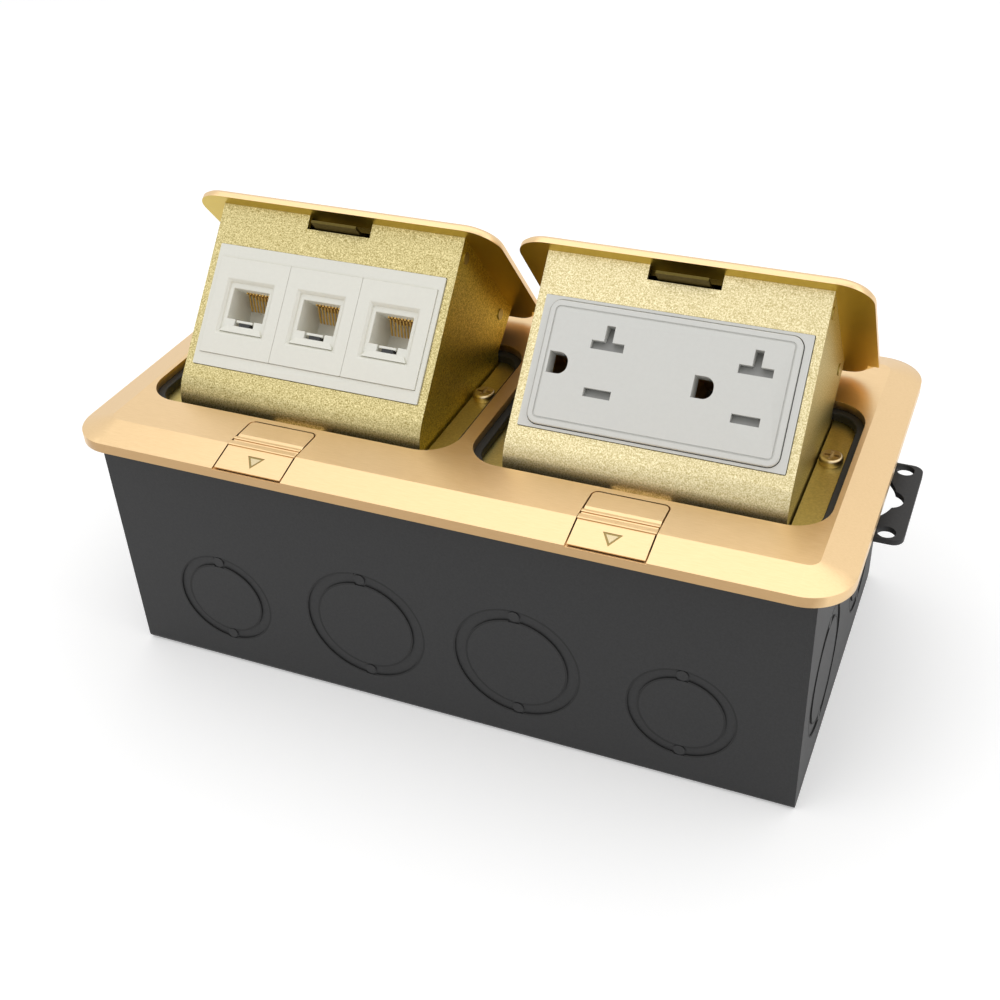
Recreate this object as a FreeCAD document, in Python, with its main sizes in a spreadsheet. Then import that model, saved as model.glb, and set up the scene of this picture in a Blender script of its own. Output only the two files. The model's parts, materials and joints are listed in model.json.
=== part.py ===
"""Floor socket box: two pop-up units under one cover plate on a steel box. Millimetres, +Z up.

The origin is under the middle of the box. The floor is level with the top of the steel box, and the
pop-ups stand open. Every size is a cell of the sheet "Sizes", and each sub-part is bound to those cells.
"""
import math
import os

import FreeCAD
import Part
import Sketcher

X_AXIS = FreeCAD.Vector(1, 0, 0)

doc = FreeCAD.newDocument("FloorSocketBox")
sheet = doc.addObject("Spreadsheet::Sheet", "Sizes")


# ---------------------------------------------------------------- sizes

class Size:
    """A number together with the formula of sheet cells that gives it."""

    def __init__(self, value, text):
        self.value = float(value)
        self.text = text

    def __add__(self, other):
        other = as_size(other)
        return Size(self.value + other.value, "(%s + %s)" % (self.text, other.text))

    def __sub__(self, other):
        other = as_size(other)
        return Size(self.value - other.value, "(%s - %s)" % (self.text, other.text))

    def __mul__(self, other):
        other = as_size(other)
        return Size(self.value * other.value, "(%s * %s)" % (self.text, other.text))

    def __truediv__(self, other):
        other = as_size(other)
        return Size(self.value / other.value, "(%s / %s)" % (self.text, other.text))

    def __neg__(self):
        return Size(-self.value, "(-1 * %s)" % self.text)

    def __radd__(self, other):
        return as_size(other) + self

    def __rsub__(self, other):
        return as_size(other) - self

    def __rmul__(self, other):
        return as_size(other) * self


def as_size(value):
    return value if isinstance(value, Size) else Size(value, str(value))


def trig(name, angle):
    value = getattr(math, name)(math.radians(angle.value))
    return Size(value, "%s(%s)" % (name, angle.text))


class Given:
    """The driving sizes, in millimetres and degrees; each one becomes a cell of the sheet."""

    # steel box
    box_length = 202.0  # steel box along X
    box_depth = 106.0  # steel box along Y
    box_height = 73.0  # underside of the box to the floor
    steel = 1.6  # sheet of box, ears and divider
    box_bend = 2.0  # outer bend radius of the box sheet
    knockout_large_x = 22.9  # large knockouts from the middle
    knockout_large_drop = 45.3  # large knockouts below the floor
    knockout_large_outer = 37.0  # large knockout, outer diameter
    knockout_large_inner = 28.6  # large knockout, inner diameter
    knockout_small_x = 69.2  # small knockouts from the middle
    knockout_small_drop = 48.4  # small knockouts below the floor
    knockout_small_outer = 30.4  # small knockout, outer diameter
    knockout_small_inner = 23.0  # small knockout, inner diameter
    knockout_end_y = 27.0  # knockouts of the end plates from the middle
    knockout_recess = 0.4  # depth of the pressed ring
    knockout_tie = 3.2  # diameter of the ties of a knockout
    divider_gap = 0.3  # divider plate to the box walls
    # mounting ears
    ear_drop = 6.0  # ear top below the floor
    ear_reach = 14.0  # ear beyond the end plate
    ear_width = 35.4  # ear along Y
    ear_corner = 3.0  # outer corner radius of an ear
    ear_leg = 18.0  # height of the ear's leg
    ear_hole = 4.8  # bolt hole of an ear
    ear_hole_edge = 4.6  # bolt hole to the ear's outer edge
    ear_hole_pitch = 29.4  # between an ear's bolt holes
    ear_bay_radius = 14.1  # round bay in the ear
    ear_bay_reach = 9.3  # bay beyond the end plate
    ear_keyhole_radius = 4.0  # small round end of the bay
    ear_keyhole_reach = 11.4  # small round end beyond the end plate
    ear_screw_pitch = 20.0  # between an ear's fixing screws
    ear_screw_drop = 9.0  # fixing screws below the ear top
    # cover plate
    cover_length = 217.0  # cover plate along X
    cover_depth = 116.6  # cover plate along Y
    cover_height = 5.5  # cover plate above the floor
    cover_lip = 3.0  # upright edge below the bevel
    bevel_width = 9.0  # bevel seen from above
    cover_corner = 12.0  # outer corner radius of the cover
    cover_skin = 2.3  # thickness of the flat of the cover
    rim_width = 5.0  # solid rim that stands on the floor
    rim_corner = 2.6  # inner corner radius of the rim, which clears the box's corners
    opening_pitch = 100.2  # between the centres of the openings
    opening_width = 96.1  # opening along X
    opening_depth = 60.5  # opening along Y
    opening_front = 35.5  # front edge of the openings to the middle
    opening_corner = 10.0  # corner radius of the openings
    boss_diameter = 6.0  # screw bosses under the cover
    boss_rear_x = 33.0  # rear bosses from the opening's centre
    boss_rear_y = 32.0  # rear bosses behind the middle
    boss_front_x = 30.0  # front bosses from the opening's centre
    boss_front_y = 42.0  # front bosses before the middle
    cover_screw = 2.9  # shank of the cover screws
    cover_screw_head = 5.4  # head of the cover screws
    cover_screw_rise = 1.8  # head height of the cover screws
    cover_screw_bite = 3.6  # thread in the cover's boss
    cover_screw_short = 0.3  # cover screws end before the bottom of their pilot
    cross_arm = 0.32  # half span of a screw's cross as a share of its head
    cross_half = 0.07  # half width of a screw's cross as a share of its head
    cross_depth = 0.5  # depth of a screw's cross as a share of its head's height
    head_round = 0.4  # rounding of a screw's head as a share of its height
    fit = 0.05  # radial play of pins and threads
    pass_hole = 0.25  # radial play of screws in passing holes
    # lid and its pivot
    lid_gap = 0.5  # lid to the edge of its opening
    lid_thickness = 2.2  # lid plate
    lid_edge = 0.8  # bevel round the top of the lid
    lid_undercut = 3.1  # slope under the lid's rear edge
    open_angle = 51.0  # opening angle of a pop-up
    pivot_y = 34.5  # pivot behind the middle
    pivot_drop = 11.9  # pivot below the floor
    pin_diameter = 4.0  # pivot pin
    pin_head = 6.4  # head of a pivot pin
    pin_head_rise = 1.6  # head height of a pivot pin
    pin_length = 9.0  # pin inside the cheek, which carries the spring
    # carrier behind each lid
    carrier_width = 76.0  # outside of the cheeks
    carrier_wall = 1.6  # sheet of the carrier
    lid_overhang = 4.0  # lid before the front plate
    plate_lean = 9.8  # lean of the front plate with the lid shut
    nose_radius = 12.0  # curl at the foot of the front plate
    nose_depth = 60.2  # lid underside to the foot
    nose_tail = 0.5  # flat end of the curl
    cheek_rear = 14.6  # rear edge of the cheeks behind the middle
    cheek_drop = 11.3  # rear edge of the cheeks ends below the floor
    knee_y = 19.0  # knee of the arm behind the middle
    knee_drop = 14.9  # knee of the arm below the floor
    heel_y = 21.0  # heel of the arm behind the middle
    heel_drop = 21.0  # heel of the arm below the floor
    eye_radius = 5.0  # round eye of the arm
    window_width = 71.3  # window of the front plate
    window_height = 35.6  # window of the front plate
    window_drop = 29.5  # window centre below the plate's top edge
    window_corner = 0.5  # corner radius of the window
    notch_width = 19.7  # notch for the latch
    notch_depth = 4.0  # notch for the latch
    bracket_foot = 7.1  # side flange of the lid bracket
    bracket_front = 3.15  # front plate to the lid bracket
    bracket_gap = 0.1  # lid bracket to the cheeks
    rivet_diameter = 1.8  # shank of the cheek rivets
    rivet_head = 3.4  # head of the cheek rivets
    rivet_rise = 0.3  # head height of the cheek rivets
    rivet_front_y = 26.8  # front rivets before the middle
    rivet_front_drop = 0.8  # front rivets below the floor
    rivet_rear_y = 7.3  # rear rivets behind the middle
    rivet_rear_drop = 2.0  # rear rivets below the floor
    keeper_width = 14.0  # keeper along X
    keeper_wall = 0.8  # strip of the keeper
    keeper_reach = 34.2  # tip of the keeper before the middle
    keeper_root = 20.0  # rear end of the keeper before the middle
    keeper_bend = 27.0  # bend of the keeper before the middle
    # hinge frame under the cover
    ledge_rise = 0.5  # ledge above the floor
    frame_wall = 1.6  # hinge frame plate
    frame_width = 98.0  # hinge frame along X
    frame_front = 47.0  # hinge frame before the middle
    frame_rear = 41.5  # hinge frame behind the middle
    frame_corner = 4.0  # corner radius of the hinge frame
    cheek_gap = 0.6  # cheek to the hinge frame
    well_front = 33.8  # front edge of the well before the middle
    well_corner = 0.8  # corner radius of the well
    well_rim = 2.9  # depth of the rim under the well's edge
    well_rim_wall = 1.4  # wall of that rim
    lug_wall = 2.8  # lugs that hold the pins
    lug_radius = 6.5  # half width of a lug
    lug_rounding = 5.85  # radius of the lower corners of a lug
    frame_screw_x = 42.0  # frame screws from the opening's centre
    frame_screw_y = 2.5  # frame screws behind the middle
    frame_screw = 3.5  # shank of the frame screws
    frame_screw_head = 6.4  # head of the frame screws
    frame_screw_rise = 2.1  # head height of the frame screws
    frame_screw_length = 7.0  # frame screw below its head
    tab_width = 13.0  # screw tabs of end plates and divider
    tab_gap = 0.4  # screw tabs to the well's rim
    # gasket
    gasket_reach = 2.2  # gasket inside the opening's edge
    gasket_lap = 1.5  # gasket under the cover
    gasket_gap = 0.1  # gasket to the cover's underside
    # latch button
    button_width = 20.0  # latch button along X
    button_gap = 0.45  # latch button to its slot
    button_bridge = 1.75  # cover strip between slot and opening
    button_front = 0.7  # button behind the cover's front edge
    button_corner = 1.5  # rear corners of the button
    button_lift = 0.3  # sliding play of the button
    slot_floor = 2.6  # floor of the button's slot
    grip_tooth = 2.3  # length of a grip tooth
    grip_depth = 0.6  # depth of a grip tooth
    grip_land = 0.4  # land before the first tooth
    mark_base = 5.2  # arrow mark, width
    mark_length = 4.1  # arrow mark, length
    mark_place = 2.4  # arrow tip up the bevel
    mark_depth = 0.35  # arrow mark, depth
    slider_width = 26.0  # slider under the button
    slider_front = 45.5  # slider before the middle
    bolt_width = 16.0  # latch bolt along X
    bolt_tip = 32.6  # tip of the bolt before the middle
    bolt_height = 1.6  # latch bolt
    bolt_nose = 1.4  # slope of the bolt's nose
    bolt_blunt = 0.4  # blunt part of the bolt's nose
    bolt_clear = 3.0  # bolt to the gasket's ends
    latch_spring_coil = 1.6  # latch spring, coil diameter
    latch_spring_wire = 0.35  # latch spring, wire diameter
    latch_spring_turns = 3.75  # latch spring, turns
    latch_spring_x = 8.0  # latch springs from the button's centre
    # torsion spring
    coil_diameter = 5.6  # torsion spring, coil diameter
    coil_wire = 0.8  # torsion spring, wire diameter
    coil_turns = 3.75  # torsion spring, turns
    coil_pitch = 1.3  # torsion spring, pitch
    coil_runs = 12  # straight runs in one turn of any spring
    # inserts of the front plates
    insert_gap = 0.15  # insert to the window's edge
    insert_proud = 0.5  # insert before the front plate
    flange_side = 0.45  # insert flange beyond the window, sideways
    flange_ends = 1.8  # insert flange beyond the window, up and down
    flange_wall = 1.4  # insert flange
    module_pitch = 22.7  # between data modules
    module_height = 28.0  # data module
    module_gap = 0.1  # between data modules
    module_proud = 0.4  # data module before its frame
    module_depth = 17.0  # data module behind the front plate
    recess_width = 13.8  # recess round a port
    recess_height = 14.5  # recess round a port
    recess_depth = 1.3  # recess round a port
    recess_bevel = 0.78  # bevel round the recess
    port_width = 11.5  # port
    port_height = 8.8  # port
    port_rise = 1.2  # port centre above the module's centre
    port_depth = 13.0  # port
    clip_width = 6.2  # wide step of the port's clip notch
    clip_step = 1.9  # height of each step of the notch
    clip_narrow = 3.4  # narrow step of the port's clip notch
    contact_pitch = 1.02  # between the contacts of a port
    contact_count = 8  # contact wires of a port
    contact_wire = 0.45  # contact wire of a port
    contact_length = 8.0  # contact wire of a port
    face_width = 66.8  # receptacle face
    face_height = 33.3  # receptacle face
    face_corner = 3.0  # corner radius of the receptacle face
    face_gap = 0.25  # receptacle face to its trim
    face_proud = 1.3  # receptacle face before the front plate
    face_back = 4.0  # receptacle face behind the front plate
    groove_inset = 1.5  # border groove from the face's edge
    groove_width = 0.5  # border groove
    groove_depth = 0.4  # border groove
    outlet_pitch = 39.0  # between the two outlets
    outlet_place = 3.6  # slots of the outlets right of the middle
    slot_wide = 8.9  # neutral slot
    slot_short = 7.4  # live slot
    slot_high = 2.3  # height of the slots
    slot_stem = 5.4  # stem of the T slot
    slot_spacing = 12.6  # between neutral and live slot
    ground_offset = 12.15  # ground hole left of the slots
    ground_width = 5.4  # ground hole
    ground_height = 5.8  # ground hole
    ground_bend = 2.61  # radius of the round side of a ground hole
    body_width = 66.4  # receptacle body
    body_height = 31.0  # receptacle body
    body_depth = 22.0  # receptacle body
    cavity_play = 0.8  # contact cavity round a slot
    cavity_depth = 15.0  # contact cavity
    leaf = 0.5  # wall of the contacts
    strap_height = 14.0  # earth strap
    strap_wall = 1.2  # earth strap
    strap_gap = 0.2  # earth strap to the face
    terminal_head = 6.0  # terminal screw head
    terminal_rise = 1.5  # terminal screw head
    terminal_x = 19.0  # terminal screws from the middle
    ground_screw_x = 60.0  # box earth screw from the middle
    ground_screw_y = 30.0  # box earth screw behind the middle
    ground_screw_head = 8.0  # box earth screw head
    ground_screw_rise = 3.2  # box earth screw head
    ground_screw = 4.0  # box earth screw shank


class Sizes:
    """The driving sizes by name, each bound to its cell."""

    def __init__(self, given):
        names = [name for name in vars(given) if not name.startswith("_")]
        for row, name in enumerate(names, 1):
            value = getattr(given, name)
            sheet.set("A%d" % row, name.replace("_", " "))
            sheet.set("B%d" % row, str(value))
            sheet.setAlias("B%d" % row, name)
            setattr(self, name, Size(value, "Sizes." + name))


s = Sizes(Given)

NOTHING = as_size(0)
SIDES = (("left", -1), ("right", 1))


# ---------------------------------------------------------------- outlines

def rect(x0, x1, y0, y1, radius=None):
    """Corners of a rectangle, rounded if a radius is given."""
    corners = [(x0, y0), (x1, y0), (x1, y1), (x0, y1)]
    return [corner + (radius,) for corner in corners] if radius else corners


def middle_rect(x, y, width, height, radius=None):
    return rect(x - width / 2, x + width / 2, y - height / 2, y + height / 2, radius)


def plus(x, y, arm, half):
    """A cross recess: arms of the given length and half width."""
    turns = [(1, -1), (1, 1), (-1, 1), (-1, -1)]
    corners = []
    for sx, sy in turns:
        inner = (x + sx * half, y + sy * half)
        along_x = (x + sx * arm, y + sy * half)
        along_y = (x + sx * half, y + sy * arm)
        corners += [along_y, inner, along_x] if sx * sy < 0 else [along_x, inner, along_y]
    return corners


def circle(x, y, diameter):
    return ("circle", x, y, diameter / 2)


def locate(sketch, rules, formulas, geometry, point, x, y):
    """Two rules that hold a point at x, y from the origin."""
    for kind, axis, distance in (("DistanceX", -2, x), ("DistanceY", -1, y)):
        if distance.value == 0:
            rules.append(Sketcher.Constraint("PointOnObject", geometry, point, axis))
            formulas.append(None)
        else:
            rules.append(Sketcher.Constraint(kind, -1, 1, geometry, point, distance.value))
            formulas.append(distance.text)


def add_circle(sketch, x, y, radius):
    centre = FreeCAD.Vector(x.value, y.value, 0)
    index = sketch.addGeometry(Part.Circle(centre, FreeCAD.Vector(0, 0, 1), radius.value))
    rules, formulas = [], []
    locate(sketch, rules, formulas, index, 3, x, y)
    rules.append(Sketcher.Constraint("Radius", index, radius.value))
    formulas.append(radius.text)
    add_rules(sketch, rules, formulas)


def add_rules(sketch, rules, formulas):
    first = sketch.ConstraintCount
    sketch.addConstraint(rules)
    for number, formula in enumerate(formulas, first):
        if formula:
            sketch.setExpression("Constraints[%d]" % number, formula)


def add_corners(sketch, corners):
    """A closed run of lines; a corner with a third value is rounded with that radius."""
    spots = [FreeCAD.Vector(c[0].value, c[1].value, 0) for c in corners]
    count = len(corners)
    starts, ends, arcs = [], [], []
    for i, corner in enumerate(corners):
        arriving = (spots[i] - spots[i - 1]).normalize()
        leaving = (spots[(i + 1) % count] - spots[i]).normalize()
        if len(corner) < 3:
            starts.append(spots[i])
            ends.append(spots[i])
            arcs.append(None)
            continue
        radius = corner[2].value
        setback = radius * math.tan(arriving.getAngle(leaving) / 2)
        before = spots[i] - arriving * setback
        after = spots[i] + leaving * setback
        left = arriving.x * leaving.y - arriving.y * leaving.x > 0
        inward = FreeCAD.Vector(-arriving.y, arriving.x, 0) * (1 if left else -1)
        centre = before + inward * radius
        first, last = (before, after) if left else (after, before)
        angles = [math.atan2(p.y - centre.y, p.x - centre.x) for p in (first, last)]
        ring = Part.Circle(centre, FreeCAD.Vector(0, 0, 1), radius)
        ends.append(before)
        starts.append(after)
        arcs.append((Part.ArcOfCircle(ring, angles[0], angles[1]), left))
    lines = []
    for i in range(count):
        segment = Part.LineSegment(starts[i], ends[(i + 1) % count])
        lines.append(sketch.addGeometry(segment))
    rules, formulas = [], []
    for i, corner in enumerate(corners):
        arriving, leaving = lines[i - 1], lines[i]
        if arcs[i] is None:
            rules.append(Sketcher.Constraint("Coincident", arriving, 2, leaving, 1))
            formulas.append(None)
            locate(sketch, rules, formulas, leaving, 1, corner[0], corner[1])
            continue
        arc, left = arcs[i]
        bend = sketch.addGeometry(arc)
        tip = sketch.addGeometry(Part.Point(spots[i]), True)
        locate(sketch, rules, formulas, tip, 1, corner[0], corner[1])
        enter, leave = (1, 2) if left else (2, 1)
        rules += [
            Sketcher.Constraint("PointOnObject", tip, 1, arriving),
            Sketcher.Constraint("PointOnObject", tip, 1, leaving),
            Sketcher.Constraint("Tangent", arriving, 2, bend, enter),
            Sketcher.Constraint("Tangent", leaving, 1, bend, leave),
            Sketcher.Constraint("Radius", bend, corner[2].value),
        ]
        formulas += [None, None, None, None, corner[2].text]
    add_rules(sketch, rules, formulas)


# ---------------------------------------------------------------- features

def bind(thing, field, size):
    setattr(thing, field, size.value)
    thing.setExpression(field, size.text)


def sub_part(label, x=NOTHING, y=NOTHING, z=NOTHING, turn=None):
    """An empty body with its own name and place; turn is its angle about X."""
    body = doc.addObject("PartDesign::Body", label)
    body.Label = label
    body.AllowCompound = True
    place(body, x, y, z, turn)
    return body


def place(thing, x, y, z, turn=None):
    rotation = FreeCAD.Rotation(X_AXIS, turn.value) if turn else FreeCAD.Rotation()
    spot = FreeCAD.Vector(as_size(x).value, as_size(y).value, as_size(z).value)
    thing.Placement = FreeCAD.Placement(spot, rotation)
    for axis, distance in (("x", x), ("y", y), ("z", z)):
        if as_size(distance).value:
            thing.setExpression("Placement.Base." + axis, as_size(distance).text)
    if turn:
        thing.setExpression("Placement.Rotation.Angle", turn.text)


def draw(body, plane, loops, lift, tilt=None):
    """A sketch on one of the body's own planes; tilt is (along, angle about X)."""
    sketch = body.newObject("Sketcher::SketchObject", "Outline")
    support = [o for o in body.Origin.OriginFeatures if o.Role == plane + "_Plane"][0]
    sketch.AttachmentSupport = [(support, "")]
    sketch.MapMode = "FlatFace"
    height = -lift if plane == "XZ" else lift
    along, angle = tilt if tilt else (NOTHING, NOTHING)
    rotation = FreeCAD.Rotation(X_AXIS, angle.value)
    spot = FreeCAD.Vector(0, along.value, height.value)
    sketch.AttachmentOffset = FreeCAD.Placement(spot, rotation)
    sketch.setExpression("AttachmentOffset.Base.z", height.text)
    if tilt:
        sketch.setExpression("AttachmentOffset.Base.y", along.text)
        sketch.setExpression("AttachmentOffset.Rotation.Angle", angle.text)
    for loop in loops:
        if loop[0] == "circle":
            add_circle(sketch, *[as_size(v) for v in loop[1:]])
        else:
            add_corners(sketch, [tuple(as_size(v) for v in corner) for corner in loop])
    return sketch


def grow(body, plane, loops, start, end, tilt=None):
    """Adds the outline from start to end, measured along +X, +Y or +Z."""
    start, end = as_size(start), as_size(end)
    pad = body.newObject("PartDesign::Pad", "Pad")
    pad.Profile = draw(body, plane, loops, end if plane == "XZ" else start, tilt)
    bind(pad, "Length", end - start)
    body.Tip = pad
    doc.recompute()
    return pad


def cut(body, plane, loops, start, end, tilt=None):
    """Takes the outline away from start to end, measured along +X, +Y or +Z."""
    start, end = as_size(start), as_size(end)
    before = body.Shape.Volume
    pocket = body.newObject("PartDesign::Pocket", "Pocket")
    pocket.Profile = draw(body, plane, loops, start if plane == "XZ" else end, tilt)
    bind(pocket, "Length", end - start)
    body.Tip = pocket
    doc.recompute()
    if body.Shape.Volume > before - 1e-6:
        raise ValueError("a pocket of %s takes nothing away" % body.Label)
    return pocket


def named_edges(body, test):
    names = ["Edge%d" % i for i, edge in enumerate(body.Tip.Shape.Edges, 1) if test(edge.BoundBox)]
    if not names:
        raise ValueError("no edges of %s found" % body.Label)
    return (body.Tip, names)


def fillet(body, test, radius):
    base = named_edges(body, test)
    feature = body.newObject("PartDesign::Fillet", "Fillet")
    feature.Base = base
    bind(feature, "Radius", radius)
    body.Tip = feature
    doc.recompute()


def chamfer(body, test, drop, inset):
    base = named_edges(body, test)
    feature = body.newObject("PartDesign::Chamfer", "Chamfer")
    feature.Base = base
    feature.ChamferType = "Two distances"
    bind(feature, "Size", drop)
    bind(feature, "Size2", inset)
    body.Tip = feature
    doc.recompute()


def at_height(z):
    return lambda box: abs(box.ZMin - z.value) < 1e-4 and abs(box.ZMax - z.value) < 1e-4


def pan_screws(label, z, spots, head, rise, shank, length, down=1):
    """A group of cross-head screws; down is 1 for a shank below the head and -1 above it."""
    body = sub_part(label, z=z)
    under = [circle(x, y, shank) for x, y in spots]
    heads = [circle(x, y, head) for x, y in spots]
    crosses = [plus(x, y, head * s.cross_arm, head * s.cross_half) for x, y in spots]
    if down > 0:
        grow(body, "XY", heads, NOTHING, rise)
        fillet(body, at_height(rise), rise * s.head_round)
        grow(body, "XY", under, -length, NOTHING)
        cut(body, "XY", crosses, rise * (1 - s.cross_depth), rise + 1)
    else:
        grow(body, "XY", heads, -rise, NOTHING)
        grow(body, "XY", under, NOTHING, length)
    return body


# ---------------------------------------------------------------- shared places

floor = s.box_height
centre_x = s.opening_pitch / 2
opening_rear = s.opening_depth - s.opening_front
opening_y = opening_rear - s.opening_depth / 2
cover_front = -s.cover_depth / 2
cover_under = s.cover_height - s.cover_skin
lid_under = s.cover_height - s.lid_thickness
frame_under = s.ledge_rise - s.frame_wall
box_inside = s.box_length / 2 - s.steel
lean = s.plate_lean

# A pop-up is drawn about its pivot with the lid shut, then turned open.
pivot_z = floor - s.pivot_drop


def from_pivot(y, z):
    """A point of the shut pop-up, given from the middle and the floor, seen from the pivot."""
    return as_size(y) - s.pivot_y, as_size(z) + s.pivot_drop


plate_top_y = -s.opening_front + s.lid_gap + s.lid_overhang
plate_top = from_pivot(plate_top_y, lid_under)
open_sin = trig("sin", s.open_angle)
open_cos = trig("cos", s.open_angle)
plate_top_open_y = s.pivot_y + plate_top[0] * open_cos + plate_top[1] * open_sin
plate_top_open_z = pivot_z - plate_top[0] * open_sin + plate_top[1] * open_cos
plate_turn = 90 + lean - s.open_angle


def popup_part(label, sign):
    return sub_part(label, sign * centre_x, s.pivot_y, pivot_z, -s.open_angle)


def plate_part(label, sign):
    """Drawn on the front plate: X along it, Y up it from its top edge, Z out of its face."""
    return sub_part(label, sign * centre_x, plate_top_open_y, plate_top_open_z, plate_turn)


# ---------------------------------------------------------------- steel box

def knockouts():
    large = -s.knockout_large_drop
    small = -s.knockout_small_drop
    for sign in (-1, 1):
        yield sign * s.knockout_large_x, large, s.knockout_large_outer, s.knockout_large_inner
        yield sign * s.knockout_small_x, small, s.knockout_small_outer, s.knockout_small_inner


def knockout_rings(places):
    rings = []
    for x, z, outer, inner in places:
        rings += [circle(x, z, outer), circle(x, z, inner)]
    return rings


def knockout_ties(places):
    ties = []
    for x, z, outer, inner in places:
        middle = (outer + inner) / 4
        ties += [circle(x, z + middle, s.knockout_tie), circle(x, z - middle, s.knockout_tie)]
    return ties


def make_box_shell():
    body = sub_part("box_shell", z=floor)
    half = s.box_depth / 2
    inner = half - s.steel
    bottom = -s.box_height
    inner_bend = s.box_bend - s.steel
    channel = [
        (-half, NOTHING), (-half, bottom, s.box_bend), (half, bottom, s.box_bend), (half, NOTHING),
        (inner, NOTHING), (inner, bottom + s.steel, inner_bend),
        (-inner, bottom + s.steel, inner_bend), (-inner, NOTHING),
    ]
    grow(body, "YZ", [channel], -box_inside, box_inside)
    places = list(knockouts())
    for start, end in ((-half, -half + s.knockout_recess), (half - s.knockout_recess, half)):
        cut(body, "XZ", knockout_rings(places), start, end)
        grow(body, "XZ", knockout_ties(places), start, end)
    seat = [circle(-s.ground_screw_x, s.ground_screw_y, s.ground_screw + 2 * s.fit)]
    cut(body, "XY", seat, bottom, bottom + s.steel)


def screw_tab(x0, x1):
    return rect(x0, x1, s.frame_screw_y - s.tab_width / 2, s.frame_screw_y + s.tab_width / 2)


def make_end_plate(side, sign):
    body = sub_part("end_plate_" + side, z=floor)
    half = s.box_depth / 2
    outline = [
        (-half, -s.box_height, s.box_bend), (half, -s.box_height, s.box_bend),
        (half, NOTHING), (-half, NOTHING),
    ]
    outside = s.box_length / 2
    span = sorted((sign * box_inside, sign * outside), key=lambda size: size.value)
    grow(body, "YZ", [outline], *span)
    tab_inner = centre_x + s.carrier_width / 2 + s.cheek_gap + s.well_rim_wall + s.tab_gap
    tab = sorted((sign * tab_inner, sign * box_inside), key=lambda size: size.value)
    grow(body, "XY", [screw_tab(*tab)], frame_under - s.steel, frame_under)
    screw_x = sign * (centre_x + s.frame_screw_x)
    hole = [circle(screw_x, s.frame_screw_y, s.frame_screw + 2 * s.fit)]
    cut(body, "XY", hole, frame_under - s.steel, frame_under)
    places = [
        (way * s.knockout_end_y, -s.knockout_large_drop, s.knockout_large_outer, s.knockout_large_inner)
        for way in (-1, 1)
    ]
    ring = sorted((sign * (outside - s.knockout_recess), sign * outside), key=lambda size: size.value)
    cut(body, "YZ", knockout_rings(places), *ring)
    grow(body, "YZ", knockout_ties(places), *ring)
    screws = [circle(y, z, s.frame_screw + 2 * s.fit) for y, z in ear_screw_places()]
    cut(body, "YZ", screws, *span)


def ear_screw_places():
    return [(way * s.ear_screw_pitch / 2, -s.ear_drop - s.ear_screw_drop) for way in (-1, 1)]


def make_mounting_ear(side, sign):
    """An angle: a leg on the end plate and a flat ear with a round bay and two bolt holes."""
    body = sub_part("mounting_ear_" + side, z=floor)
    end = s.box_length / 2
    half = s.ear_width / 2
    flat = [
        (sign * end, -half), (sign * (end + s.ear_reach), -half, s.ear_corner),
        (sign * (end + s.ear_reach), half, s.ear_corner), (sign * end, half),
    ]
    if sign < 0:
        flat.reverse()
    grow(body, "XY", [flat], -s.ear_drop - s.steel, -s.ear_drop)
    leg = rect(-half, half, -s.ear_drop - s.ear_leg, -s.ear_drop)
    span = sorted((sign * end, sign * (end + s.steel)), key=lambda size: size.value)
    grow(body, "YZ", [leg], *span)
    bay_x = sign * (end + s.ear_bay_reach - s.ear_bay_radius)
    keyhole_x = sign * (end + s.ear_keyhole_reach - s.ear_keyhole_radius)
    for x, radius in ((bay_x, s.ear_bay_radius), (keyhole_x, s.ear_keyhole_radius)):
        cut(body, "XY", [circle(x, NOTHING, 2 * radius)], -s.ear_drop - s.steel, -s.ear_drop)
    bolt_x = sign * (end + s.ear_reach - s.ear_hole_edge)
    bolts = [circle(bolt_x, way * s.ear_hole_pitch / 2, s.ear_hole) for way in (-1, 1)]
    cut(body, "XY", bolts, -s.ear_drop - s.steel, -s.ear_drop)
    screws = [circle(y, z, s.frame_screw + 2 * s.pass_hole) for y, z in ear_screw_places()]
    cut(body, "YZ", screws, *span)


def make_ear_screws():
    body = sub_part("ear_screws", z=floor)
    end = s.box_length / 2
    for sign in (-1, 1):
        head = (sign * (end + s.steel), sign * (end + s.steel + s.frame_screw_rise))
        shank = (sign * (end - s.steel), sign * (end + s.steel))
        for span, size in ((head, s.frame_screw_head), (shank, s.frame_screw)):
            loops = [circle(y, z, size) for y, z in ear_screw_places()]
            grow(body, "YZ", loops, *sorted(span, key=lambda item: item.value))


def make_divider_plate():
    body = sub_part("divider_plate", z=floor)
    half = s.box_depth / 2 - s.steel - s.divider_gap
    sheet_side = rect(-half, half, -s.box_height + s.steel, frame_under)
    grow(body, "YZ", [sheet_side], -s.steel / 2, s.steel / 2)
    inner = centre_x - s.carrier_width / 2 - s.cheek_gap - s.well_rim_wall - s.tab_gap
    grow(body, "XY", [screw_tab(-inner, inner)], frame_under - s.steel, frame_under)
    screw_x = centre_x - s.frame_screw_x
    holes = [circle(sign * screw_x, s.frame_screw_y, s.frame_screw + 2 * s.fit) for sign in (-1, 1)]
    cut(body, "XY", holes, frame_under - s.steel, frame_under)


def make_ground_screw():
    body = sub_part("ground_screw", -s.ground_screw_x, s.ground_screw_y, NOTHING)
    reach = s.ground_screw_head / 2
    hexagon = [
        (-reach * 2 / math.sqrt(3), NOTHING), (-reach / math.sqrt(3), -reach),
        (reach / math.sqrt(3), -reach), (reach * 2 / math.sqrt(3), NOTHING),
        (reach / math.sqrt(3), reach), (-reach / math.sqrt(3), reach),
    ]
    grow(body, "XY", [hexagon], s.steel, s.steel + s.ground_screw_rise)
    grow(body, "XY", [circle(NOTHING, NOTHING, s.ground_screw)], NOTHING, s.steel)


# ---------------------------------------------------------------- cover

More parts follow.
